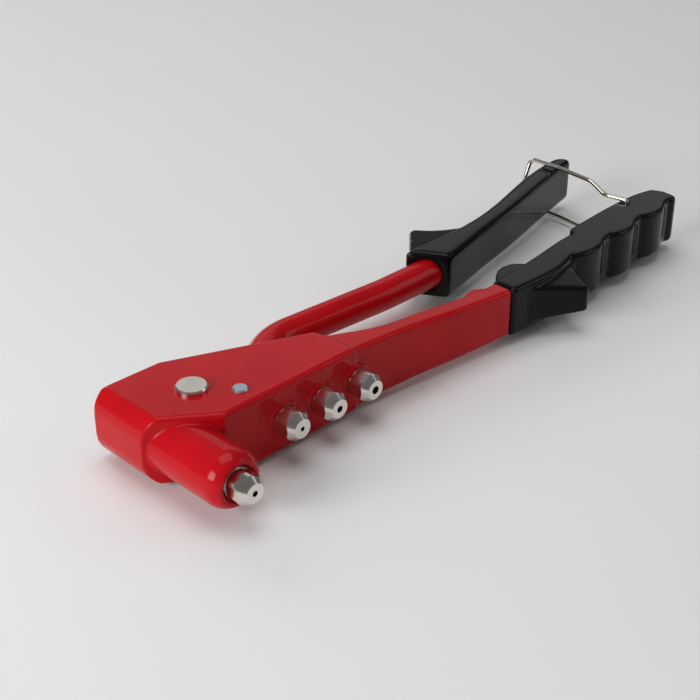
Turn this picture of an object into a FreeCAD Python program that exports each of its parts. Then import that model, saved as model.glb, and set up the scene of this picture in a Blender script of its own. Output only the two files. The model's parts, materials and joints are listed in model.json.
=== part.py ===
import FreeCAD, Part
import math
import os

import Sketcher
from FreeCAD import Placement, Rotation, Vector

# Hand riveter lying on its side.  The model is drawn about the pivot pin: X runs along the handles,
# -Y is the way the nose points, Z is the pin's axis with Z = 0 half way through the head.
# The finished pieces are then moved so that the row's origin is under the middle of the tool.

os.makedirs("parts", exist_ok=True)
doc = FreeCAD.newDocument("hand_riveter")

# --------------------------------------------------------------------- driving dimensions (mm, degrees)
DIMENSIONS = [
    ("origin_x", 112.3, "row origin, along the handles from the pivot"),
    ("origin_y", 1.255, "row origin, across the handles from the pivot"),
    ("floor_depth", 14.3, "surface the tool lies on, below the head's middle plane"),
    ("head_half", 12.7, "head casting, half thickness"),
    ("head_edge_radius", 1.6, "soft edges of the head"),
    ("head_corner_radius", 3.0, "corners of the head beside the barrel and at its rear"),
    ("arm_root_half", 12.0, "fixed arm, half thickness beside the head"),
    ("arm_end_half", 9.6, "fixed arm, half thickness at the end of its taper"),
    ("arm_start", 57.0, "fixed arm, where the head's step ends"),
    ("arm_end", 136.5, "fixed arm, where its taper ends inside the grip"),
    ("tang_half", 7.2, "fixed handle's tang, half thickness"),
    ("lever_tang_half", 6.4, "lever's tang, half thickness"),
    ("cavity_depth", 17.6, "lever slot, side to side"),
    ("heel_pocket_depth", 9.2, "heel pocket, side to side"),
    ("stop_lug_width", 11.0, "squeeze stop cast on the fixed arm"),
    ("barrel_x", -12.7, "barrel axis, from the pivot"),
    ("barrel_radius", 10.3, "barrel, outside"),
    ("barrel_root", -2.0, "barrel, rear end inside the head"),
    ("barrel_front", -37.9, "barrel, front face"),
    ("barrel_shoulder", -31.4, "barrel, where its nose begins to round in"),
    ("barrel_face_radius", 7.9, "barrel, flat front face"),
    ("bore_radius", 6.6, "bore that the jaw case slides in"),
    ("bore_front", -29.8, "front end of the jaw case's bore"),
    ("rear_face", 22.2, "head, rear face"),
    ("insert_radius", 5.3, "steel nose insert, outside"),
    ("insert_front", -36.4, "steel nose insert, front face"),
    ("recess_radius", 6.5, "recess in the barrel's face round the nosepiece"),
    ("thread_hole_radius", 4.08, "nosepiece sockets"),
    ("socket_depth", 9.8, "spare nosepiece sockets"),
    ("front_face", -19.6, "head, face that carries the spare nosepieces"),
    ("boss_height", 0.8, "bosses round the spare nosepieces"),
    ("boss_radius", 6.1, "bosses round the spare nosepieces"),
    ("spare_first_x", 22.2, "first spare nosepiece, from the pivot"),
    ("spare_pitch", 17.1, "spare nosepieces, apart"),
    ("nose_thread_radius", 4.0, "nosepiece, threaded shank"),
    ("nose_thread_length", 5.8, "nosepiece, threaded shank"),
    ("nose_relief_depth", 0.4, "nosepiece, relief groove behind the collar"),
    ("nose_relief_length", 0.8, "nosepiece, relief groove behind the collar"),
    ("nose_tail_radius", 2.4, "nosepiece, tail that opens the jaws"),
    ("nose_tail_length", 2.8, "nosepiece, tail that opens the jaws"),
    ("nose_collar_radius", 4.9, "nosepiece, collar behind the hexagon"),
    ("nose_collar_length", 1.0, "nosepiece, collar behind the hexagon"),
    ("nose_hex_flats", 10.0, "nosepiece, across the flats"),
    ("nose_hex_turned", 5.4, "nosepiece, turned radius of the hexagon's corners"),
    ("nose_hex_end", 6.2, "nosepiece, front end of the hexagon"),
    ("nose_length", 8.6, "nosepiece, from its seat to its face"),
    ("nose_face_radius", 3.5, "nosepiece, flat face"),
    ("nose_back_bore", 2.0, "nosepiece, wide bore behind the mandrel hole"),
    ("nose_back_bore_end", 4.6, "nosepiece, front end of the wide bore"),
    ("nose_bore_cone", 0.8, "nosepiece, cone between its two bores"),
    ("mandrel_hole_fitted", 1.05, "mandrel hole radius, for 3.2 mm rivets"),
    ("mandrel_hole_spare_1", 0.85, "mandrel hole radius, for 2.4 mm rivets"),
    ("mandrel_hole_spare_2", 1.25, "mandrel hole radius, for 4.0 mm rivets"),
    ("mandrel_hole_spare_3", 1.5, "mandrel hole radius, for 4.8 mm rivets"),
    ("pin_radius", 4.0, "pivot pin, shank"),
    ("pin_clearance", 0.06, "lever hub on the pivot pin"),
    ("pin_head_radius", 5.5, "pivot pin, head"),
    ("pin_head_height", 1.6, "pivot pin, head"),
    ("pin_tail_radius", 5.0, "pivot pin, riveted tail"),
    ("pin_tail_height", 0.9, "pivot pin, riveted tail"),
    ("pin_tail_flat", 4.2, "pivot pin, flat of the riveted tail, radius"),
    ("pin_tail_rim", 0.3, "pivot pin, straight rim of the riveted tail"),
    ("washer_radius", 6.4, "pivot washer, outside"),
    ("washer_height", 0.7, "pivot washer, thickness"),
    ("stop_x", 11.0, "stop rivet, from the pivot"),
    ("stop_y", -11.5, "stop rivet, from the pivot"),
    ("stop_radius", 1.6, "stop rivet, shank"),
    ("stop_head_radius", 2.8, "stop rivet, heads"),
    ("stop_head_height", 0.8, "stop rivet, heads"),
    ("hub_radius", 6.3, "lever hub"),
    ("hub_half", 8.5, "lever hub, half height"),
    ("fork_reach", 13.0, "fork knobs, from the pivot"),
    ("fork_knob_radius", 2.8, "fork knobs"),
    ("fork_inner", 6.3, "fork prongs, inner faces from the middle plane"),
    ("fork_knob_inner", 3.9, "fork knobs, inner faces from the middle plane"),
    ("fork_angle", 13.5, "fork at rest, behind the line from pivot to barrel axis"),
    ("lever_radius", 6.2, "lever, round section"),
    ("heel_half_width", 3.0, "lever heel that meets the stop rivet"),
    ("heel_half", 4.0, "lever heel, half height"),
    ("heel_reach", 15.4, "lever heel, from the pivot"),
    ("case_radius", 6.0, "jaw case, outside"),
    ("case_front", -22.2, "jaw case, front face at rest"),
    ("case_mouth_radius", 2.8, "jaw case, front mouth"),
    ("case_inner_radius", 4.7, "jaw case, inside"),
    ("case_cone_start", -21.0, "jaw case, front end of its cone"),
    ("case_cone_end", -12.0, "jaw case, rear end of its cone"),
    ("case_rear_bore", 2.65, "jaw case, bore in its rear wall"),
    ("neck_radius", 3.5, "pull spool, neck between its flanges"),
    ("spool_radius", 5.6, "pull spool, flanges"),
    ("spool_bore", 2.65, "pull spool, bore for the mandrel tube"),
    ("spool_flange", 2.4, "pull spool, thickness of a flange"),
    ("fork_play", 0.3, "fork knobs, gap to each flange"),
    ("tube_radius", 2.6, "mandrel tube, outside"),
    ("tube_bore", 1.9, "mandrel tube, inside"),
    ("tube_rear", 22.0, "mandrel tube, rear end at rest"),
    ("plug_radius", 7.3, "rear plug, outside"),
    ("plug_front", 14.6, "rear plug, inner face"),
    ("plug_bore", 2.95, "rear plug, mandrel exit"),
    ("plug_mouth", 0.8, "rear plug, flare of the mandrel exit"),
    ("return_spring_radius", 4.3, "return spring, mean"),
    ("return_spring_wire", 0.55, "return spring, wire radius"),
    ("return_spring_turns", 4, "return spring, number of turns"),
    ("return_spring_seat", 0.05, "return spring, gap at each end"),
    ("pusher_radius", 4.3, "jaw pusher, outside"),
    ("pusher_bore", 1.9, "jaw pusher, inside"),
    ("pusher_tip_radius", 2.4, "jaw pusher, tip of its cone"),
    ("pusher_front", -12.6, "jaw pusher, tip of its cone"),
    ("pusher_cone", 2.2, "jaw pusher, length of its cone"),
    ("pusher_rear", -8.0, "jaw pusher, rear face"),
    ("pusher_spring_radius", 3.5, "pusher spring, mean"),
    ("pusher_spring_wire", 0.4, "pusher spring, wire radius"),
    ("pusher_spring_turns", 3, "pusher spring, number of turns"),
    ("pusher_spring_seat", 0.1, "pusher spring, gap at each end"),
    ("jaw_gap", 0.6, "gap between neighbouring jaws"),
    ("jaw_play", 0.3, "gap from the jaws to the case's cone and to the pusher"),
    ("jaw_channel", 0.75, "mandrel channel between the jaws, radius"),
    ("jaw_front", -20.4, "jaws, front ends at rest"),
    ("grip_half", 10.3, "grips, half thickness"),
    ("moving_grip_half", 9.8, "moving grip, half thickness"),
    ("grip_edge_radius", 1.5, "grips, soft edges"),
    ("groove_radius", 0.8, "fixed grip, bottoms of its finger grooves"),
    ("guard_root_half", 7.2, "finger guards, half thickness at the root"),
    ("guard_tip_half", 4.8, "finger guards, half thickness at the tip"),
    ("hump_width", 7.0, "rib on the fixed grip's inner side"),
    ("socket_end", 136.0, "moving grip, bottom of its round socket"),
    ("socket_length", 20.0, "moving grip, length cut for its round socket"),
    ("bail_x", 225.5, "bail hinge, from the pivot"),
    ("bail_y", -11.0, "bail hinge, from the pivot"),
    ("bail_wire", 0.9, "bail, wire radius"),
    ("bail_hole", 0.97, "bail hinge holes, radius"),
    ("bail_leg_z", 11.5, "bail legs, from the middle plane"),
    ("bail_end", 3.0, "bail, wire ends from the middle plane"),
    ("chamfer", 0.5, "corners of the turned pieces"),
    ("overlap", 1.0, "how far a cut or a boss runs on into its neighbour"),
]
sheet = doc.addObject("Spreadsheet::Sheet", "Dims")
for row, (alias, value, note) in enumerate(DIMENSIONS, start=1):
    sheet.set(f"A{row}", alias)
    sheet.set(f"B{row}", str(value))
    sheet.set(f"C{row}", note)
    sheet.setAlias(f"B{row}", alias)
doc.recompute()

# Plan outlines (mm from the pivot), each running round its shape.
HEAD_OUTLINE = [
    (-24.2, -3.4), (-2.6, -19.8), (56.7, -19.6), (56.7, -6.7),
    (54.9, -0.2), (3.1, 21.9), (-15.0, 22.2), (-24.2, 22.2),
]
LEVER_SLOT = [
    (-6.6, -8.6), (12.0, -8.6), (22.0, -8.4), (36.0, -4.4),
    (60.0, 5.5), (60.0, 32.0), (16.0, 32.0), (7.2, 16.8), (1.4, 10.5), (-6.6, 8.3),
]
FORK_POCKET = [(-16.4, -8.0), (0.0, -8.0), (0.0, 8.0), (-16.4, 8.0)]
HEEL_POCKET = [(-6.2, -16.0), (4.0, -16.0), (15.6, -12.6), (15.6, -6.0), (-6.2, -6.0)]
ARM_FRONT = [(50.0, -18.8), (67.0, -19.4), (86.0, -21.0), (104.0, -23.7), (118.0, -25.4), (131.5, -26.7)]
ARM_BACK = [
    (131.5, -17.6), (117.0, -17.2), (104.0, -15.6), (88.0, -13.4), (74.0, -11.2), (62.0, -6.4), (50.0, -2.0),
]
STOP_LUG = [(119.0, -19.0), (122.5, -11.2), (128.0, -10.4), (131.5, -12.4), (131.5, -19.0)]
FIXED_TANG = [
    (131.0, -18.6), (165.0, -17.2), (190.0, -14.4), (216.0, -12.8), (221.0, -8.9), (231.0, -8.9),
    (238.0, -12.4), (238.0, -17.0), (190.0, -20.2), (165.0, -22.6), (131.0, -25.4),
]
MOVING_TANG = [
    (133.5, 20.0), (150.0, 19.6), (175.0, 23.3), (205.0, 31.0), (228.0, 36.6), (241.0, 39.2),
    (241.0, 35.6), (228.0, 33.4), (205.0, 27.8), (175.0, 20.2), (150.0, 15.6), (133.5, 15.2),
]
FIXED_GRIP = [
    [(131.6, -27.6), (140.0, -28.3), (150.0, -28.6), (160.0, -27.6), (169.5, -25.2)],
    [(169.5, -25.2), (175.0, -27.4), (181.0, -28.0), (186.0, -27.4), (190.2, -25.4)],
    [(190.2, -25.4), (195.8, -24.2)],
    [(195.8, -24.2), (200.0, -26.3), (205.0, -26.9), (209.6, -26.2), (213.6, -24.0)],
    [(213.6, -24.0), (219.0, -22.8)],
    [(219.0, -22.8), (223.4, -24.8), (228.2, -25.3), (232.8, -24.6), (236.8, -22.4)],
    [(236.8, -22.4), (241.4, -21.2)],
    [(241.4, -21.2), (243.4, -22.2), (245.6, -22.0), (247.4, -20.4)],
    [(247.4, -20.4), (247.8, -14.5)],
    [(247.8, -14.5), (245.6, -9.3)],
    [(245.6, -9.3), (236.0, -7.3), (224.0, -6.8), (206.0, -7.6), (189.5, -8.8)],
    [(189.5, -8.8), (187.2, -12.0)],
    [(187.2, -12.0), (178.0, -12.4), (164.0, -14.2), (149.0, -15.9), (131.6, -16.8)],
    [(131.6, -16.8), (131.6, -27.6)],
]
FIXED_GROOVES = (169.5, 187.2, 190.2, 195.8, 213.6, 219.0, 236.8, 241.4)
FIXED_GUARD = [
    [(135.0, -24.0), (136.5, -27.6)],
    [(136.5, -27.6), (146.0, -31.0), (153.0, -35.6), (158.6, -39.6)],
    [(158.6, -39.6), (160.6, -40.5), (162.6, -39.4)],
    [(162.6, -39.4), (163.8, -34.5), (166.2, -30.0), (170.0, -26.2)],
    [(170.0, -26.2), (170.0, -24.0)],
    [(170.0, -24.0), (135.0, -24.0)],
]
FIXED_HUMP = [
    [
        (138.0, -18.0), (141.5, -12.0), (148.0, -5.4), (155.0, -3.2), (160.5, -5.2), (164.0, -10.2),
        (166.0, -16.0),
    ],
    [(166.0, -16.0), (138.0, -18.0)],
]
MOVING_GRIP = [
    [
        (136.8, 9.2), (150.0, 12.2), (163.0, 15.4), (188.0, 20.9), (207.0, 25.6), (228.0, 31.0),
        (238.0, 33.5),
    ],
    [(238.0, 33.5), (248.8, 35.9)],
    [(248.8, 35.9), (248.2, 38.2), (246.0, 41.0), (243.0, 41.9)],
    [
        (243.0, 41.9), (232.0, 40.8), (218.0, 38.0), (191.5, 30.4), (174.0, 26.3), (158.0, 24.4),
        (146.0, 24.0), (127.4, 24.8),
    ],
    [(127.4, 24.8), (136.8, 9.2)],
]
MOVING_GUARD = [
    [(131.0, 22.0), (130.4, 25.0)],
    [(130.4, 25.0), (137.0, 31.0), (143.0, 36.6), (148.8, 42.0)],
    [(148.8, 42.0), (151.0, 43.2), (153.2, 42.2)],
    [(153.2, 42.2), (155.6, 36.4), (160.5, 30.6), (168.0, 26.4)],
    [(168.0, 26.4), (168.0, 22.0)],
    [(168.0, 22.0), (131.0, 22.0)],
]
FIXED_GUARD_TAPER = (-28.8, -41.0)  # root and tip of each guard's taper, across the handles
MOVING_GUARD_TAPER = (26.4, 44.0)
GUARD_SPAN = (126.0, 172.0)  # both guards lie between these stations along the handles
END_RIM, END_MIDDLE, END_FLAT = (-19.2, 12.7), (-22.7, 9.3), (-24.2, 3.6)
BARREL_NOSE_MIDDLE = (9.75, -35.2)
LEVER_PATH = [(4.0, 0.6), (24.0, 3.6), (54.0, 21.6), (108.0, 17.7), (136.0, 17.7)]
LEVER_BENDS = [30.0, 26.0, 90.0]
BAIL_LEG = [(223.6, -1.0), (231.4, 12.0), (233.2, 30.0), (232.6, 45.9)]
BAIL_CROWN = (228.6, 46.8)
BAIL_BENDS = [1.15, 5.0, 12.0, 60.0, 2.6]
BAIL_CROWN_BEND = 14.0
HEEL_ANGLE = -95.5
THROUGH = 90.0  # longer than any cut right through a piece
MARGIN = 3.0  # how far a cutting outline reaches past the piece


def dim(alias):
    """A driving dimension, read from the sheet."""
    return float(sheet.get(alias))


def tokens(expression):
    """The words, numbers and signs of a sum such as 'bore_front + 1.2'."""
    return str(expression).replace("+", " + ").replace("-", " - ").split()


def number(expression):
    """The value of a sum of dimension names and plain numbers."""
    total, sign = 0.0, 1.0
    for word in tokens(expression):
        if word in "+-":
            sign = 1.0 if word == "+" else -1.0
            continue
        total += sign * (dim(word) if word[0].isalpha() else float(word))
        sign = 1.0
    return total


def bound(expression):
    """The same sum as a FreeCAD expression on the sheet."""
    return " ".join("Dims." + w if w[0].isalpha() else w for w in tokens(expression))


# --------------------------------------------------------------------------------- drawing helpers
def origin_plane(body, role):
    return next(f for f in body.Origin.OriginFeatures if f.Role == role)


def new_body(label):
    body = doc.addObject("PartDesign::Body", label)
    body.Label = label
    doc.recompute()
    return body


def bind(feature, name, size):
    """Set a size from a sum of the sheet's dimensions, or from a plain number."""
    setattr(feature, name, number(size))
    if isinstance(size, str):
        feature.setExpression(name, bound(size))


def new_sketch(body, name, plane, offset=None):
    """A sketch on one of the body's own planes, moved along the plane's normal if asked."""
    sketch = body.newObject("Sketcher::SketchObject", name)
    sketch.AttachmentSupport = [(origin_plane(body, plane), "")]
    sketch.MapMode = "FlatFace"
    if offset is not None:
        sketch.AttachmentOffset = Placement(Vector(0, 0, number(offset)), Rotation())
        sketch.setExpression("AttachmentOffset.Base.z", bound(offset))
    return sketch


def place_vertex(sketch, edge, end, across, along):
    """Fix one end of an edge at two sums of the sheet's dimensions."""
    for kind, expression in (("DistanceX", across), ("DistanceY", along)):
        value = number(expression)
        if abs(value) < 1e-9:
            axis = -2 if kind == "DistanceX" else -1
            sketch.addConstraint(Sketcher.Constraint("PointOnObject", edge, end, axis))
            continue
        sketch.addConstraint(Sketcher.Constraint(kind, edge, end, value))
        if any(word[0].isalpha() for word in tokens(expression)):
            sketch.setExpression(f"Constraints[{sketch.ConstraintCount - 1}]", bound(expression))


def polygon_sketch(body, name, plane, corners):
    """A closed outline of straight edges, its corners bound to the sheet."""
    sketch = new_sketch(body, name, plane)
    points = [Vector(number(a), number(b), 0) for a, b in corners]
    count = len(points)
    for i in range(count):
        sketch.addGeometry(Part.LineSegment(points[i], points[(i + 1) % count]), False)
    for i in range(count):
        sketch.addConstraint(Sketcher.Constraint("Coincident", i, 2, (i + 1) % count, 1))
        place_vertex(sketch, i, 1, *corners[i])
    doc.recompute()
    return sketch


def curved_sketch(body, name, plane, runs):
    """A closed outline whose runs of two points are straight and longer runs are smooth curves."""
    sketch = new_sketch(body, name, plane)
    for run in runs:
        points = [Vector(x, y, 0) for x, y in run]
        if len(points) == 2:
            sketch.addGeometry(Part.LineSegment(*points), False)
            continue
        curve = Part.BSplineCurve()
        curve.interpolate(points)
        sketch.addGeometry(curve, False)
    doc.recompute()
    return sketch


def circle_sketch(body, name, plane, across, along, radius, offset=None):
    sketch = new_sketch(body, name, plane, offset)
    centre = Vector(number(across), number(along), 0)
    sketch.addGeometry(Part.Circle(centre, Vector(0, 0, 1), number(radius)), False)
    place_vertex(sketch, 0, 3, across, along)
    sketch.addConstraint(Sketcher.Constraint("Radius", 0, number(radius)))
    sketch.setExpression(f"Constraints[{sketch.ConstraintCount - 1}]", bound(radius))
    doc.recompute()
    return sketch


def turned(label, profile, plane="XY_Plane"):
    """A lathe-turned piece: (radius, station) pairs turned about the plane's vertical axis."""
    body = new_body(label)
    sketch = polygon_sketch(body, label + "_profile", plane, profile)
    turn = body.newObject("PartDesign::Revolution", label + "_turn")
    turn.Profile = sketch
    turn.ReferenceAxis = (sketch, ["V_Axis"])
    turn.Angle = 360.0
    body.Tip = turn
    doc.recompute()
    return body


def pad(body, name, sketch, length, midplane=True):
    feature = body.newObject("PartDesign::Pad", name)
    feature.Profile = sketch
    feature.Midplane = midplane
    bind(feature, "Length", length)
    body.Tip = feature
    doc.recompute()
    return feature


def pocket(body, name, sketch, length, midplane=True):
    """A cut, which must take material away."""
    before = body.Shape.Volume
    feature = body.newObject("PartDesign::Pocket", name)
    feature.Profile = sketch
    feature.Midplane = midplane
    bind(feature, "Length", length)
    body.Tip = feature
    doc.recompute()
    if body.Shape.Volume > before - 1e-3:
        raise RuntimeError(name + " cuts nothing")
    return feature


def drill(body, name, across, radius, start, depth):
    """A round hole along +Y from the station start, at the middle height."""
    sketch = circle_sketch(body, name + "_circle", "XZ_Plane", across, 0, radius, minus(start))
    return pocket(body, name, sketch, depth, midplane=False)


def minus(expression):
    """The negative of a sum, as another sum."""
    flipped = []
    for word in tokens(expression):
        if word in "+-":
            flipped.append("-" if word == "+" else "+")
            continue
        if not flipped or flipped[-1] not in "+-":
            flipped.append("-")
        flipped.append(word)
    return "0 " + " ".join(flipped)


def round_edges(body, name, radius, wanted):
    """Round the edges that the test picks by their middle point and direction."""
    base = body.Tip
    names = []
    for i, edge in enumerate(base.Shape.Edges, start=1):
        middle = (edge.FirstParameter + edge.LastParameter) / 2
        if wanted(edge.valueAt(middle), edge.tangentAt(middle)):
            names.append(f"Edge{i}")
    feature = body.newObject("PartDesign::Fillet", name)
    feature.Base = (base, names)
    bind(feature, "Radius", radius)
    body.Tip = feature
    doc.recompute()
    return feature


# ----------------------------------------------------------------------------------- head casting
def end_bulge(body):
    """The regions outside the head's rounded end, above and below its flat middle."""
    sketch = new_sketch(body, "end_bulge", "XZ_Plane")
    beyond, past = END_FLAT[0] - MARGIN, END_RIM[1] + MARGIN
    for side in (1, -1):
        rim, middle, flat = (Vector(x, side * z, 0) for x, z in (END_RIM, END_MIDDLE, END_FLAT))
        outside, above = Vector(beyond, flat.y, 0), Vector(rim.x, side * past, 0)
        corner = Vector(beyond, side * past, 0)
        sketch.addGeometry(Part.Arc(rim, middle, flat), False)
        for start, end in ((flat, outside), (outside, corner), (corner, above), (above, rim)):
            sketch.addGeometry(Part.LineSegment(start, end), False)
    doc.recompute()
    return sketch


def barrel(body):
    """The barrel and its rounded nose, turned about the mandrel's axis."""
    sketch = new_sketch(body, "barrel_profile", "XY_Plane")
    sketch.AttachmentOffset = Placement(Vector(dim("barrel_x"), 0, 0), Rotation())
    sketch.setExpression("AttachmentOffset.Base.x", "Dims.barrel_x")
    radius, face = dim("barrel_radius"), dim("barrel_face_radius")
    root, shoulder, front = dim("barrel_root"), dim("barrel_shoulder"), dim("barrel_front")
    nose, centre, foot = Vector(face, front, 0), Vector(0, front, 0), Vector(0, root, 0)
    side, edge = Vector(radius, root, 0), Vector(radius, shoulder, 0)
    for start, end in ((nose, centre), (centre, foot), (foot, side), (side, edge)):
        sketch.addGeometry(Part.LineSegment(start, end), False)
    sketch.addGeometry(Part.Arc(edge, Vector(*BARREL_NOSE_MIDDLE, 0), nose), False)
    doc.recompute()
    turn = body.newObject("PartDesign::Revolution", "barrel")
    turn.Profile = sketch
    turn.ReferenceAxis = (sketch, ["V_Axis"])
    turn.Angle = 360.0
    body.Tip = turn
    doc.recompute()


def wedge_sketch(body, name, plane, ends, limit, offset=None):
    """Two regions, above and below a tapering piece: ends holds (station, half thickness) twice."""
    sketch = new_sketch(body, name, plane, offset)
    (near, near_half), (far, far_half) = ends
    for side in (1, -1):
        corners = [(near, near_half), (far, far_half), (far, limit), (near, limit)]
        points = [Vector(x, side * z, 0) for x, z in corners]
        for i in range(4):
            sketch.addGeometry(Part.LineSegment(points[i], points[(i + 1) % 4]), False)
    doc.recompute()
    return sketch


def spare_x(index):
    """Where a spare nosepiece sits along the head."""
    return " + ".join(["spare_first_x"] + ["spare_pitch"] * index)


def bail_hole(body):
    """The hole across the fixed handle and its grip that the bail's wire ends turn in."""
    circle = circle_sketch(body, body.Label + "_bail_circle", "XY_Plane", "bail_x", "bail_y", "bail_hole")
    pocket(body, body.Label + "_bail_hole", circle, THROUGH)


def head_casting():
    """Die-cast head, barrel and fixed arm, with the lever's slot and the jaw case's bore."""
    body = new_body("head_casting")
    outline = polygon_sketch(body, "head_outline", "XY_Plane", HEAD_OUTLINE)
    pad(body, "head_block", outline, "head_half + head_half")
    corners = (HEAD_OUTLINE[1][0], HEAD_OUTLINE[5][0])
    round_edges(
        body, "head_corners", "head_corner_radius",
        lambda p, t: abs(t.z) > 0.9 and any(abs(p.x - x) < 0.1 for x in corners),
    )
    half = dim("head_half")
    round_edges(body, "head_edges", "head_edge_radius", lambda p, t: abs(abs(p.z) - half) < 0.01)
    pocket(body, "end_cut", end_bulge(body), THROUGH)

    arm_runs = [ARM_FRONT, [ARM_FRONT[-1], ARM_BACK[0]], ARM_BACK, [ARM_BACK[-1], ARM_FRONT[0]]]
    outline = curved_sketch(body, "arm_outline", "XY_Plane", arm_runs)
    pad(body, "arm", outline, "arm_root_half + arm_root_half")
    ends = [(dim("arm_start"), dim("arm_root_half")), (dim("arm_end"), dim("arm_end_half"))]
    taper = wedge_sketch(body, "arm_taper", "XZ_Plane", ends, dim("arm_root_half") + MARGIN)
    pocket(body, "arm_taper_cut", taper, THROUGH)
    round_edges(
        body, "arm_edges", "head_edge_radius",
        lambda p, t: (p.x > dim("arm_start") + MARGIN and abs(t.x) > 0.8
                      and abs(p.z) > dim("arm_end_half") - 0.5),
    )
    barrel(body)
    pad(body, "stop_lug", polygon_sketch(body, "stop_lug_outline", "XY_Plane", STOP_LUG), "stop_lug_width")
    pad(body, "tang", polygon_sketch(body, "tang_outline", "XY_Plane", FIXED_TANG), "tang_half + tang_half")
    for i in range(3):
        base = minus("front_face + overlap")
        rim = circle_sketch(body, f"boss_circle_{i}", "XZ_Plane", spare_x(i), 0, "boss_radius", base)
        pad(body, f"boss_{i}", rim, "boss_height + overlap", midplane=False)

    for name, outline, depth in (
        ("lever_slot", LEVER_SLOT, "cavity_depth"),
        ("fork_pocket", FORK_POCKET, "cavity_depth"),
        ("heel_pocket", HEEL_POCKET, "heel_pocket_depth"),
    ):
        pocket(body, name, polygon_sketch(body, name + "_outline", "XY_Plane", outline), depth)
    for name, radius, start, end in (
        ("jaw_bore", "bore_radius", "bore_front", "plug_front + overlap"),
        ("insert_bore", "insert_radius", "barrel_front", "bore_front + overlap"),
        ("nose_recess", "recess_radius", "barrel_front", "insert_front"),
        ("plug_bore", "plug_radius", "plug_front", "rear_face + overlap"),
    ):
        drill(body, name, "barrel_x", radius, start, f"{end} - {start}")
    for i in range(3):
        mouth = "front_face - boss_height"
        drill(body, f"socket_{i}", spare_x(i), "thread_hole_radius", mouth, "socket_depth")
    for name, x, y, radius in (
        ("pin_hole", 0, 0, "pin_radius"),
        ("stop_hole", "stop_x", "stop_y", "stop_radius"),
    ):
        pocket(body, name, circle_sketch(body, name + "_circle", "XY_Plane", x, y, radius), THROUGH)
    bail_hole(body)
    return body


# ------------------------------------------------------------------------- turned and hexagon pieces
def barrel_insert():
    """Steel bush pressed into the barrel's nose, threaded for the nosepiece in use."""
    return turned("barrel_insert", [
        ("thread_hole_radius", "bore_front"), ("insert_radius", "bore_front"),
        ("insert_radius", "insert_front"), ("thread_hole_radius", "insert_front"),
    ])


def rear_plug():
    """Screwed plug that closes the jaw case's bore and lets spent mandrels out."""
    return turned("rear_plug", [
        ("plug_bore", "plug_front"), ("plug_radius", "plug_front"),
        ("plug_radius", "rear_face - chamfer"), ("plug_radius - chamfer", "rear_face"),
        ("plug_bore + plug_mouth", "rear_face"), ("plug_bore", "rear_face - plug_mouth"),
    ])


def mandrel_tube():
    """Thin tube pressed into the pull spool; it guides mandrels back through the rear plug."""
    return turned("mandrel_tube", [
        ("tube_bore", spool_front()), ("tube_radius", spool_front()),
        ("tube_radius", "tube_rear"), ("tube_bore", "tube_rear"),
    ])


def fork_station():
    """Where the fork's knobs sit along the barrel axis at rest."""
    return round(dim("fork_reach") * math.sin(math.radians(dim("fork_angle"))), 3)


def spool_front():
    return f"{fork_station()} - fork_knob_radius - fork_play"


def spool_back():
    return f"{fork_station()} + fork_knob_radius + fork_play"


def pull_spool():
    """Flanged spool, screwed into the jaw case, that the fork draws back."""
    return turned("pull_spool", [
        ("spool_bore", spool_front()), ("neck_radius", spool_front()), ("neck_radius", spool_back()),
        ("spool_radius", spool_back()), ("spool_radius", spool_back() + " + spool_flange"),
        ("spool_bore", spool_back() + " + spool_flange"),
    ])


def jaw_case():
    """Case with a cone at the front that closes the jaws as it is drawn back."""
    return turned("jaw_case", [
        ("case_mouth_radius", "case_front"), ("case_radius - chamfer", "case_front"),
        ("case_radius", "case_front + chamfer"), ("case_radius", spool_front()),
        ("case_rear_bore", spool_front()), ("case_rear_bore", spool_front() + " - spool_flange"),
        ("case_inner_radius", spool_front() + " - spool_flange"), ("case_inner_radius", "case_cone_end"),
        ("case_mouth_radius", "case_cone_start"),
    ])


def jaw_pusher():
    """Cone-nosed sleeve that the spring presses against the jaws."""
    return turned("jaw_pusher", [
        ("pusher_bore", "pusher_front"), ("pusher_tip_radius", "pusher_front"),
        ("pusher_radius", "pusher_front + pusher_cone"), ("pusher_radius", "pusher_rear"),
        ("pusher_bore", "pusher_rear"),
    ])


def jaws():
    """Three hardened wedges round the axis, with a channel for the mandrel between them."""
    cone_start, cone_end = dim("case_cone_start"), dim("case_cone_end")
    slope = (dim("case_inner_radius") - dim("case_mouth_radius")) / (cone_end - cone_start)
    front, play, overlap = dim("jaw_front"), dim("jaw_play"), dim("overlap")
    length = dim("pusher_front") - play - front
    front_radius = dim("case_mouth_radius") + (front - cone_start) * slope - play
    rear_radius = front_radius + length * slope
    foot, along = Vector(0, front, 0), Vector(0, 1, 0)
    cone = Part.makeCone(front_radius, rear_radius, length, foot, along)
    cone = cone.cut(Part.makeCylinder(dim("jaw_channel"), length, foot, along))
    for turn in (0, 120, 240):
        slot = Part.makeBox(2 * rear_radius, length + 2 * overlap, dim("jaw_gap"))
        slot.translate(Vector(0, front - overlap, -dim("jaw_gap") / 2))
        slot.rotate(Vector(0, 0, 0), along, turn)
        cone = cone.cut(slot)
    return [shape_node(f"jaw_{i}", wedge) for i, wedge in enumerate(cone.Solids, start=1)]


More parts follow.
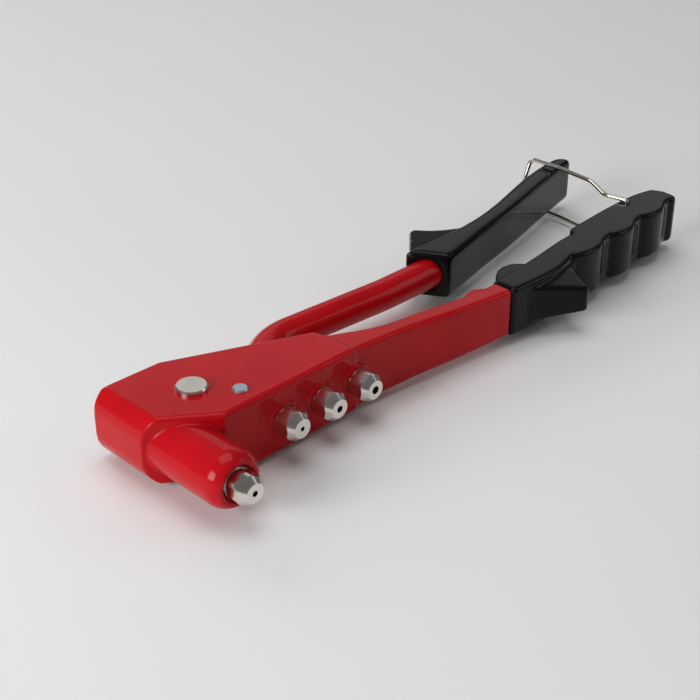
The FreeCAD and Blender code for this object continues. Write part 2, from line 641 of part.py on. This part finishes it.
def nosepiece(label, hole):
    """A nosepiece about its own seat: shank behind, hexagon, cone and flat face in front."""
    body = turned(label, [
        (hole, minus("nose_length")), ("nose_face_radius", minus("nose_length")),
        ("nose_hex_turned", minus("nose_hex_end")), ("nose_hex_turned", minus("nose_collar_length")),
        ("nose_collar_radius", minus("nose_collar_length")), ("nose_collar_radius", "0"),
        ("nose_thread_radius - nose_relief_depth", "0"),
        ("nose_thread_radius - nose_relief_depth", "nose_relief_length"),
        ("nose_thread_radius", "nose_relief_length + nose_relief_depth"),
        ("nose_thread_radius", "nose_thread_length"), ("nose_tail_radius", "nose_thread_length"),
        ("nose_tail_radius", "nose_thread_length + nose_tail_length"),
        ("nose_back_bore", "nose_thread_length + nose_tail_length"),
        ("nose_back_bore", minus("nose_back_bore_end")),
        (hole, minus("nose_back_bore_end + nose_bore_cone")),
    ])
    flats = new_sketch(body, label + "_hexagon", "XZ_Plane", "nose_collar_length")
    corner = dim("nose_hex_flats") / math.sqrt(3)
    for radius in (corner, 2 * corner):
        angles = [math.radians(a) for a in range(30, 390, 60)]
        points = [Vector(radius * math.cos(a), radius * math.sin(a), 0) for a in angles]
        for i in range(6):
            flats.addGeometry(Part.LineSegment(points[i], points[(i + 1) % 6]), False)
    doc.recompute()
    feature = body.newObject("PartDesign::Pocket", label + "_flats")
    feature.Profile = flats
    feature.Reversed = True
    bind(feature, "Length", "nose_length")
    body.Tip = feature
    doc.recompute()
    return body


def pivot_pin():
    """Pivot pin with a broad head above and a riveted tail below its washer."""
    tail = "head_half + washer_height"
    return turned("pivot_pin", [
        ("0", minus(tail + " + pin_tail_height")),
        ("pin_tail_flat", minus(tail + " + pin_tail_height")),
        ("pin_tail_radius", minus(tail + " + pin_tail_rim")), ("pin_tail_radius", minus(tail)),
        ("pin_radius", minus(tail)), ("pin_radius", "head_half"),
        ("pin_head_radius", "head_half"), ("pin_head_radius", "head_half + pin_head_height - chamfer"),
        ("pin_head_radius - chamfer", "head_half + pin_head_height"),
        ("0", "head_half + pin_head_height"),
    ], "XZ_Plane")


def pivot_washer():
    """Washer between the head and the pin's riveted tail."""
    low, high = minus("head_half + washer_height"), minus("head_half")
    return turned("pivot_washer", [
        ("pin_radius", low), ("washer_radius", low), ("washer_radius", high), ("pin_radius", high),
    ], "XZ_Plane")


def stop_rivet():
    """Small rivet across the slot that the lever's heel meets when the handles are wide open."""
    rim, top = "head_half + stop_head_height - chamfer", "head_half + stop_head_height"
    upper = [
        ("stop_radius", "head_half"), ("stop_head_radius", "head_half"),
        ("stop_head_radius", rim), ("stop_head_radius - chamfer", top), ("0", top),
    ]
    lower = [(radius, minus(station)) for radius, station in reversed(upper)]
    body = turned("stop_rivet", lower + upper, "XZ_Plane")
    body.Placement = Placement(Vector(dim("stop_x"), dim("stop_y"), 0), Rotation())
    return body


# ------------------------------------------------------------------------------ swept and free shapes
def shape_node(label, shape):
    """A piece whose shape comes from sweeps and booleans that a feature tree would only obscure."""
    node = doc.addObject("Part::Feature", label)
    node.Label = label
    node.Shape = shape
    return node


def rounded_path(points, radii):
    """Straight runs joined by tangent arcs; radii holds one radius for each inner point."""
    edges, start = [], Vector(*points[0])
    for i, radius in enumerate(radii, start=1):
        before, corner, after = (Vector(*points[i + k]) for k in (-1, 0, 1))
        back, onward = (before - corner).normalize(), (after - corner).normalize()
        half_turn = (math.pi - back.getAngle(onward)) / 2
        reach = radius * math.tan(half_turn)
        first, last = corner + back * reach, corner + onward * reach
        bisector = (back + onward).normalize()
        middle = corner + bisector * (radius / math.cos(half_turn) - radius)
        edges.append(Part.LineSegment(start, first).toShape())
        edges.append(Part.Arc(first, middle, last).toShape())
        start = last
    edges.append(Part.LineSegment(start, Vector(*points[-1])).toShape())
    return Part.Wire(edges)


def tube_along(path, radius):
    """A round bar along a path."""
    start = path.Edges[0].valueAt(path.Edges[0].FirstParameter)
    direction = path.Edges[0].tangentAt(path.Edges[0].FirstParameter)
    ring = Part.Wire([Part.makeCircle(radius, start, direction)])
    return path.makePipeShell([ring], True, False)


def slab(outline, half):
    """A flat piece with a straight-edged plan, on both sides of the middle plane."""
    points = [Vector(x, y, -half) for x, y in outline]
    return Part.Face(Part.makePolygon(points + points[:1])).extrude(Vector(0, 0, 2 * half))


def lever():
    """Moving handle: forked hub, heel, round bar and the flat tang inside its grip."""
    up = Vector(0, 0, 1)
    hub_half, reach, knob = dim("hub_half"), dim("fork_reach"), dim("fork_knob_radius")
    solid = Part.makeCylinder(dim("hub_radius"), 2 * hub_half, Vector(0, 0, -hub_half), up)
    path = rounded_path([(x, y, 0) for x, y in LEVER_PATH], LEVER_BENDS)
    solid = solid.fuse(tube_along(path, dim("lever_radius")))
    solid = solid.fuse(slab(MOVING_TANG, dim("lever_tang_half")))

    heel = Part.makeBox(dim("heel_reach"), 2 * dim("heel_half_width"), 2 * dim("heel_half"))
    heel.translate(Vector(0, -dim("heel_half_width"), -dim("heel_half")))
    heel.rotate(Vector(0, 0, 0), up, HEEL_ANGLE)
    solid = solid.fuse(heel)

    inner, knob_inner = dim("fork_inner"), dim("fork_knob_inner")
    for side in (1, -1):
        low = min(side * inner, side * hub_half)
        prong = Part.makeBox(reach, 2 * knob, hub_half - inner, Vector(-reach, -knob, low))
        prong = prong.fuse(Part.makeCylinder(knob, hub_half - inner, Vector(-reach, 0, low), up))
        low = min(side * knob_inner, side * inner)
        prong = prong.fuse(Part.makeCylinder(knob, inner - knob_inner, Vector(-reach, 0, low), up))
        prong.rotate(Vector(0, 0, 0), up, -dim("fork_angle"))
        solid = solid.fuse(prong)

    hole, cut_half = dim("pin_radius") + dim("pin_clearance"), hub_half + dim("overlap")
    solid = solid.cut(Part.makeCylinder(hole, 2 * cut_half, Vector(0, 0, -cut_half), up))
    return shape_node("lever", solid.removeSplitter())


def bail():
    """Spring-wire bail: ends bent into the fixed handle, two legs, and a crown over the moving grip."""
    hinge, leg = (dim("bail_x"), dim("bail_y")), dim("bail_leg_z")
    half = [(hinge[0], hinge[1], z) for z in (dim("bail_end"), leg)]
    half += [(x, y, leg) for x, y in BAIL_LEG]
    crown = [(BAIL_CROWN[0], BAIL_CROWN[1], 0.0)]
    points = half + crown + [(x, y, -z) for x, y, z in reversed(half)]
    path = rounded_path(points, BAIL_BENDS + [BAIL_CROWN_BEND] + BAIL_BENDS[::-1])
    return shape_node("bail", tube_along(path, dim("bail_wire")))


def coil_spring(label, front, rear):
    """A compression spring about the barrel axis, between the faces it bears on."""
    mean_radius, wire = dim(label + "_radius"), dim(label + "_wire")
    start = front + wire + dim(label + "_seat")
    length = rear - wire - dim(label + "_seat") - start
    helix = Part.makeLongHelix(length / dim(label + "_turns"), length, mean_radius)
    ring = Part.Wire([Part.makeCircle(wire, Vector(mean_radius, 0, 0), Vector(0, 1, 0))])
    coil = Part.Wire(helix.Edges).makePipeShell([ring], True, True)
    coil.rotate(Vector(0, 0, 0), Vector(1, 0, 0), -90)
    coil.translate(Vector(0, start, 0))
    return shape_node(label, coil)


# --------------------------------------------------------------------------------------------- grips
def grip(label, outline, half, guard, guard_taper, tang, tang_half, grooves=()):
    """A moulded sleeve with a finger guard that thins towards its tip, hollow for the handle's tang."""
    body = new_body(label)
    plan = curved_sketch(body, label + "_plan", "XY_Plane", outline)
    pad(body, label + "_sleeve", plan, half + " + " + half)
    if grooves:
        round_edges(
            body, label + "_grooves", "groove_radius",
            lambda p, t: abs(t.z) > 0.9 and any(abs(p.x - x) < 0.05 for x in grooves),
        )
    edge = dim(half)
    round_edges(body, label + "_edges", "grip_edge_radius", lambda p, t: abs(abs(p.z) - edge) < 0.01)
    plan = curved_sketch(body, label + "_guard_plan", "XY_Plane", guard)
    pad(body, label + "_guard", plan, "guard_root_half + guard_root_half")
    start, end = GUARD_SPAN
    ends = list(zip(guard_taper, (dim("guard_root_half"), dim("guard_tip_half"))))
    taper = wedge_sketch(body, label + "_guard_taper", "YZ_Plane", ends, edge + MARGIN, end)
    pocket(body, label + "_guard_thinning", taper, end - start, midplane=False)
    hollow = polygon_sketch(body, label + "_hollow_plan", "XY_Plane", tang)
    pocket(body, label + "_hollow", hollow, 2 * tang_half)
    return body


def fixed_grip():
    """Grip of the fixed handle: finger grooves, a rib on its inner side and the bail's hole."""
    body = grip(
        "fixed_grip", FIXED_GRIP, "grip_half", FIXED_GUARD, FIXED_GUARD_TAPER,
        FIXED_TANG, dim("tang_half"), FIXED_GROOVES,
    )
    rib = curved_sketch(body, "fixed_grip_rib_plan", "XY_Plane", FIXED_HUMP)
    pad(body, "fixed_grip_rib", rib, "hump_width")
    bail_hole(body)
    return body


def moving_grip():
    """Grip of the lever, with a round socket behind its slanted mouth for the lever's bar."""
    body = grip(
        "moving_grip", MOVING_GRIP, "moving_grip_half", MOVING_GUARD, MOVING_GUARD_TAPER,
        MOVING_TANG, dim("lever_tang_half"),
    )
    bar_y = LEVER_PATH[-1][1]
    bar = circle_sketch(body, "moving_grip_socket_circle", "YZ_Plane", bar_y, 0, "lever_radius", "socket_end")
    pocket(body, "moving_grip_socket", bar, "socket_length", midplane=False)
    return body


def check_document():
    """Stop if any object of the document failed to build."""
    doc.recompute()
    for thing in doc.Objects:
        if "Invalid" in thing.State or "Error" in thing.State:
            raise RuntimeError(f"{thing.Name} failed: {thing.State}")


def export(nodes):
    """Move every piece to the row's frame and write it."""
    shift = Vector(-dim("origin_x"), -dim("origin_y"), dim("floor_depth"))
    for node in nodes:
        node.Placement = Placement(shift, Rotation()).multiply(node.Placement)
    check_document()
    for node in nodes:
        if node.Shape.isNull() or not node.Shape.isValid():
            raise RuntimeError(node.Label + " has no valid shape")
        node.Shape.exportStep(os.path.join("parts", node.Label + ".step"))


def along_barrel(node):
    """Move a piece from its own axis to the barrel's."""
    node.Placement = Placement(Vector(dim("barrel_x"), 0, 0), Rotation()).multiply(node.Placement)
    return node


def build():
    spool_rear = number(spool_back() + " + spool_flange")
    case_rear_wall = number(spool_front() + " - spool_flange")
    nodes = [
        head_casting(), pivot_pin(), pivot_washer(), stop_rivet(),
        lever(), bail(), fixed_grip(), moving_grip(),
    ]
    nodes += [along_barrel(node) for node in (
        barrel_insert(), rear_plug(), mandrel_tube(), pull_spool(), jaw_case(), jaw_pusher(), *jaws(),
        coil_spring("return_spring", spool_rear, dim("plug_front")),
        coil_spring("pusher_spring", dim("pusher_rear"), case_rear_wall),
    )]

    fitted = nosepiece("nosepiece_fitted", "mandrel_hole_fitted")
    fitted.Placement = Placement(Vector(dim("barrel_x"), dim("insert_front"), 0), Rotation())
    nodes.append(fitted)
    for i in range(3):
        spare = nosepiece(f"spare_nosepiece_{i + 1}", f"mandrel_hole_spare_{i + 1}")
        seat = dim("front_face") - dim("boss_height")
        spare.Placement = Placement(Vector(number(spare_x(i)), seat, 0), Rotation())
        nodes.append(spare)
    export(nodes)


build()
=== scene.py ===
import json
import math

import bpy
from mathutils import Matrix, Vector


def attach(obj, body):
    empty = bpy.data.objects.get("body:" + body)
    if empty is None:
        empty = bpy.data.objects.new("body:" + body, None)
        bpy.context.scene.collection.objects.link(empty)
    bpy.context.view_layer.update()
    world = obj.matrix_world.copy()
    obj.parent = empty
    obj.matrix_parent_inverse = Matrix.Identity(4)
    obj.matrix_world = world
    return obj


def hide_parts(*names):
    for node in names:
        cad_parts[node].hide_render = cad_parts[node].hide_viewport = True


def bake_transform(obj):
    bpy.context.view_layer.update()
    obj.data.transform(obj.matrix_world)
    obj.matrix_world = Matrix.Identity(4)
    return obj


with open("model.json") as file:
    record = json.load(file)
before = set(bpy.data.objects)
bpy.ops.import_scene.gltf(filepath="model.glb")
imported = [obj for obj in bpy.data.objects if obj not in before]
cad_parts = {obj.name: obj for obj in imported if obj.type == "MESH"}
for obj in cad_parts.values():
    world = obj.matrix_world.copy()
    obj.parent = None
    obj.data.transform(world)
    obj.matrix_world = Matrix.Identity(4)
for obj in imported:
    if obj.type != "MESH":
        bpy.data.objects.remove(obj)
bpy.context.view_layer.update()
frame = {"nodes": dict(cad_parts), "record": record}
nodes = frame["nodes"]
scene = bpy.context.scene


# ------------------------------------------------------------------------------------- materials
def surface_of(material):
    """The material's Principled shader."""
    return material.node_tree.nodes["Principled BSDF"]


def shader(name, **settings):
    """A material with the settings of its Principled shader; names use _ for spaces."""
    material = bpy.data.materials.new(name)
    material.use_nodes = True
    for key, value in settings.items():
        surface_of(material).inputs[key.replace("_", " ")].default_value = value
    return material


def add(material, kind, inputs=None):
    """A new node with the values of some of its inputs."""
    node = material.node_tree.nodes.new(kind)
    for key, value in (inputs or {}).items():
        node.inputs[key].default_value = value
    return node


def link(material, start, out, end, into):
    material.node_tree.links.new(start.outputs[out], end.inputs[into])


def noise(material, scale, detail=2.0, roughness=0.5):
    """Noise in the piece's own space, in cells per metre."""
    place = add(material, "ShaderNodeTexCoord")
    settings = {"Scale": scale, "Detail": detail, "Roughness": roughness}
    field = add(material, "ShaderNodeTexNoise", settings)
    link(material, place, "Object", field, "Vector")
    return field


def colour_by(material, field, low, high):
    """The base colour runs between two colours along a field; each end is (place, colour)."""
    band = add(material, "ShaderNodeValToRGB")
    for element, (place, colour) in zip(band.color_ramp.elements, (low, high)):
        element.position, element.color = place, (*colour, 1.0)
    link(material, field, "Fac", band, "Fac")
    link(material, band, "Color", surface_of(material), "Base Color")


def roughness_by(material, field, low, high):
    """The shader's roughness follows a field, its middle half stretched over low to high."""
    span = {"From Min": 0.25, "From Max": 0.75, "To Min": low, "To Max": high}
    scaled = add(material, "ShaderNodeMapRange", span)
    link(material, field, "Fac", scaled, "Value")
    link(material, scaled, "Result", surface_of(material), "Roughness")


def bump(material, field, distance, strength, normal="Normal"):
    """A field as fine relief, its height in metres, on the shader's normal or on its coat's."""
    lift = add(material, "ShaderNodeBump", {"Strength": strength, "Distance": distance})
    link(material, field, "Fac", lift, "Height")
    link(material, lift, "Normal", surface_of(material), normal)


def enamel():
    """Thick glossy red enamel over a casting: faint flow in the gloss, faint unevenness in the colour."""
    material = shader(
        "red_enamel", Roughness=0.4, Specular_IOR_Level=0.03,
        Coat_Weight=1.0, Coat_Roughness=0.05, Coat_IOR=1.22,
    )
    tone = noise(material, 38.0, 4.0)
    colour_by(material, tone, (0.3, (0.43, 0.003, 0.007)), (0.7, (0.51, 0.005, 0.010)))
    bump(material, noise(material, 330.0), 0.00006, 0.35, normal="Coat Normal")
    bump(material, noise(material, 900.0, 1.0), 0.00002, 0.4)
    return material


def pvc():
    """Glossy moulded black PVC with a faint skin texture and duller patches from handling."""
    material = shader(
        "black_pvc", Specular_IOR_Level=0.05,
        Coat_Weight=0.7, Coat_Roughness=0.05, Coat_IOR=1.25,
    )
    tone = noise(material, 60.0, 3.0)
    colour_by(material, tone, (0.3, (0.003, 0.003, 0.0035)), (0.7, (0.006, 0.006, 0.0065)))
    roughness_by(material, noise(material, 85.0, 5.0, roughness=0.6), 0.16, 0.30)
    bump(material, noise(material, 1500.0, 3.0), 0.00003, 0.35)
    return material


def plated(name, colour, low, high):
    """Plated or bare metal with fine uneven polish, its roughness from low to high."""
    material = shader(name, Metallic=1.0)
    shade = tuple(0.86 * channel for channel in colour)
    colour_by(material, noise(material, 140.0, 3.0), (0.25, shade), (0.75, colour))
    roughness_by(material, noise(material, 420.0, 4.0, roughness=0.6), low, high)
    bump(material, noise(material, 1050.0), 0.00001, 0.6)
    return material


FINISHES = {
    "red_enamel": enamel(),
    "black_pvc": pvc(),
    "bright_nickel": plated("bright_nickel", (0.80, 0.76, 0.70), 0.13, 0.24),
    "zinc_plate": plated("zinc_plate", (0.58, 0.64, 0.72), 0.22, 0.36),
    "plain_steel": plated("plain_steel", (0.52, 0.51, 0.50), 0.25, 0.40),
    "hard_steel": plated("hard_steel", (0.16, 0.15, 0.14), 0.30, 0.45),
    "spring_wire": plated("spring_wire", (0.66, 0.60, 0.52), 0.16, 0.30),
}
slot_of = {part["node"]: part["material_slot"] for part in frame["record"]["subparts"]}
bodies = frame["record"]["behaviour"]["bodies"]
body_of = {node: body for body, members in bodies.items() for node in members}
for name, node in nodes.items():
    node.data.materials.clear()
    node.data.materials.append(FINISHES[slot_of[name]])


# ---------------------------------------------------------------------------------------- pieces
def stand_in(node, name):
    """A copy of a CAD node's mesh that takes its place."""
    piece = bpy.data.objects.new(name, nodes[node].data.copy())
    scene.collection.objects.link(piece)
    piece.data.materials.clear()
    piece.data.materials.append(FINISHES[slot_of[node]])
    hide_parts(node)
    return piece


def softened(node, name, voxel, passes):
    """A skin over a CAD node with the soft edges that casting, moulding or a coat of enamel leaves."""
    piece = stand_in(node, name)
    skin = piece.modifiers.new("skin", "REMESH")
    skin.mode, skin.voxel_size, skin.use_smooth_shade = "VOXEL", voxel, True
    soften = piece.modifiers.new("soften", "SMOOTH")
    soften.factor, soften.iterations = 0.5, passes
    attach(piece, body_of[node])
    return piece


def wound(node, name):
    """A coil spring along the barrel that presses two bodies apart, copied with its placement baked into
    its mesh.
    """
    piece = stand_in(node, name)
    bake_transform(piece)
    return piece


# node, piece, edge of the skin's cells in metres, how often it is smoothed
for node, name, voxel, passes in (
    ("head_casting", "head_enamelled", 0.00042, 7),
    ("lever", "lever_enamelled", 0.00042, 7),
    ("fixed_grip", "fixed_grip_moulded", 0.0005, 26),
    ("moving_grip", "moving_grip_moulded", 0.0006, 44),
):
    softened(node, name, voxel, passes)
wound("return_spring", "return_spring_wound")
wound("pusher_spring", "pusher_spring_wound")


# ----------------------------------------------------------------------------------------- stage
MIDDLE = Vector((-0.0428, -0.0046, 0.0143))  # the point the camera and the lamps look at
BACK = Vector((-0.6075, -0.6147, 0.5032)).normalized()  # from there towards the camera
RIGHT = Vector((0.7113, -0.7029, 0.0))  # the camera's right, along the floor
FAR = Vector((0.7029, 0.7113, 0.0))  # away from the camera, along the floor
UP = Vector((0.0, 0.0, 1.0))
DISTANCE = 0.508  # camera to MIDDLE, metres
LENS, SENSOR = 72.6, 36.0  # millimetres
ROLL = -0.2  # degrees
FLOOR_REACH = 6.0  # metres from the origin to each side
AMBIENT = (0.80, 0.81, 0.83, 1.0)
AMBIENT_STRENGTH = 0.17
LAMPS = [  # name, metres to the camera's right, beyond and above MIDDLE, size in metres, watts
    ("left", (-0.70, -0.60, 0.35), (0.5, 0.4), 6.8),
    ("top", (-0.05, 0.1, 1.2), (0.9, 0.9), 5.4),
    ("right", (1.0, 0.1, 0.5), (0.5, 0.5), 1.0),
    ("back", (-0.7, 0.9, 0.6), (0.6, 0.5), 2.6),
    ("panel", (0.0, 1.3, 0.75), (1.7, 0.6), 1.5),
]


def aimed(thing, direction):
    """Turn a lamp or camera so that it looks along a direction."""
    thing.rotation_euler = direction.to_track_quat("-Z", "Y").to_euler()


def area_light(name, place, size, power):
    """A soft rectangular lamp that faces the tool."""
    light = bpy.data.lights.new(name, "AREA")
    light.shape = "RECTANGLE"
    light.size, light.size_y = size
    light.energy = power
    lamp = bpy.data.objects.new(name, light)
    scene.collection.objects.link(lamp)
    right, far, up = place
    lamp.location = MIDDLE + RIGHT * right + FAR * far + UP * up
    aimed(lamp, MIDDLE - lamp.location)


def pale_floor():
    """The surface the tool lies on, with faint unevenness in its tone."""
    mesh = bpy.data.meshes.new("floor")
    corners = [(FLOOR_REACH * x, FLOOR_REACH * y, 0.0) for x, y in ((-1, -1), (1, -1), (1, 1), (-1, 1))]
    mesh.from_pydata(corners, [], [(0, 1, 2, 3)])
    floor = bpy.data.objects.new("floor", mesh)
    scene.collection.objects.link(floor)
    paper = shader("pale_floor", Roughness=0.55, Specular_IOR_Level=0.25)
    cloud = noise(paper, 3.0, 3.0)
    colour_by(paper, cloud, (0.3, (0.83, 0.826, 0.824)), (0.7, (0.87, 0.868, 0.868)))
    floor.data.materials.append(paper)


pale_floor()
for name, place, size, power in LAMPS:
    area_light(name, place, size, power)

world = bpy.data.worlds.new("studio")
world.use_nodes = True
sky = world.node_tree.nodes["Background"].inputs
sky["Color"].default_value, sky["Strength"].default_value = AMBIENT, AMBIENT_STRENGTH
scene.world = world
scene.view_settings.view_transform = "Standard"

lens = bpy.data.cameras.new("camera")
lens.lens, lens.sensor_width = LENS, SENSOR
camera = bpy.data.objects.new("camera", lens)
scene.collection.objects.link(camera)
camera.location = MIDDLE + BACK * DISTANCE
aimed(camera, -BACK)
camera.rotation_euler.rotate_axis("Z", math.radians(ROLL))
scene.camera = camera
